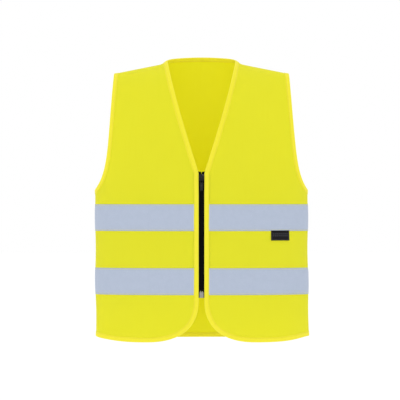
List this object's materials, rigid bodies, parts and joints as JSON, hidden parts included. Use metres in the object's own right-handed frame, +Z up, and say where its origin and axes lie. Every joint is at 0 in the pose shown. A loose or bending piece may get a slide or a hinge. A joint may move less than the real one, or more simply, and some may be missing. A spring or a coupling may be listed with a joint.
{
  "type": "high visibility vest",
  "caption": "Child-size sleeveless fluorescent yellow V-neck vest with reflective bands round the body, bound edges and a separating front zip.",
  "frame": {"origin": "midway between the two high shoulder points, where the shoulder seams meet the neck, at the height of those points", "axes": "+Z up as worn, the front faces -Y, +X is the wearer's left"},
  "size_m": [0.4064, 0.1637, 0.5418],
  "materials": {
    "hi_vis_cloth": "fluorescent yellow warp-knit polyester, soft satin sheen, fine lengthwise ribs",
    "binding_tape": "fluorescent yellow woven binding tape, folded over the edge and stitched",
    "reflective_tape": "silver-grey retroreflective tape, matt with very fine glass beads",
    "flag_label_cloth": "black damask-woven ribbon with a plain grey woven pattern",
    "care_label_cloth": "white satin ribbon",
    "zip_tape_cloth": "black woven polyester zip tape",
    "zip_coil_nylon": "black nylon, slightly glossy",
    "black_enamel": "black enamelled zinc, semi-gloss",
    "nickel_plate": "satin nickel plate"
  },
  "bodies": {
    "torso": {"back_panel": "hi_vis_cloth", "left_front_side_panel": "hi_vis_cloth", "right_front_side_panel": "hi_vis_cloth", "back_lower_band": "reflective_tape", "back_upper_band": "reflective_tape", "left_lower_band_side": "reflective_tape", "right_lower_band_side": "reflective_tape", "left_upper_band_side": "reflective_tape", "right_upper_band_side": "reflective_tape", "left_armhole_binding": "binding_tape", "right_armhole_binding": "binding_tape", "left_front_neck_binding": "binding_tape", "right_front_neck_binding": "binding_tape", "left_front_hem_binding": "binding_tape", "right_front_hem_binding": "binding_tape", "back_hem_binding": "binding_tape", "back_neck_binding": "binding_tape", "flag_label": "flag_label_cloth", "care_label": "care_label_cloth"},
    "left_front": {"left_front_centre_panel": "hi_vis_cloth", "left_front_edge_binding": "binding_tape", "left_lower_band_centre": "reflective_tape", "left_upper_band_centre": "reflective_tape", "left_zip_tape": "zip_tape_cloth", "left_zip_coil": "zip_coil_nylon", "left_zip_top_stop": "zip_coil_nylon", "left_retainer_pin": "nickel_plate", "retainer_box": "nickel_plate"},
    "right_front": {"right_front_centre_panel": "hi_vis_cloth", "right_front_edge_binding": "binding_tape", "right_lower_band_centre": "reflective_tape", "right_upper_band_centre": "reflective_tape", "right_zip_tape": "zip_tape_cloth", "right_zip_coil": "zip_coil_nylon", "right_zip_top_stop": "zip_coil_nylon", "right_insertion_pin": "nickel_plate"},
    "zip_slider": {"zip_slider": "black_enamel", "slider_bridge": "black_enamel"},
    "zip_pull": {"zip_pull": "black_enamel"}
  },
  "joints": [
    {"name": "left_front_fold", "type": "hinge", "parent": "torso", "child": "left_front", "pos_m": [0.0886, -0.0771, -0.5324], "axis": [-0.0879, -0.009, 0.9961], "range_deg": [0, 120]},
    {"name": "right_front_fold", "type": "hinge", "parent": "torso", "child": "right_front", "pos_m": [-0.0886, -0.0771, -0.5324], "axis": [-0.0879, 0.009, -0.9961], "range_deg": [0, 120]},
    {"name": "zip_travel", "type": "slide", "parent": "left_front", "child": "zip_slider", "axis": [0, 0, -1], "range_m": [0, 0.2078]},
    {"name": "pull_swing", "type": "hinge", "parent": "zip_slider", "child": "zip_pull", "pos_m": [0, -0.08155, -0.2223], "axis": [-1, 0, 0], "range_deg": [0, 170]}
  ]
}
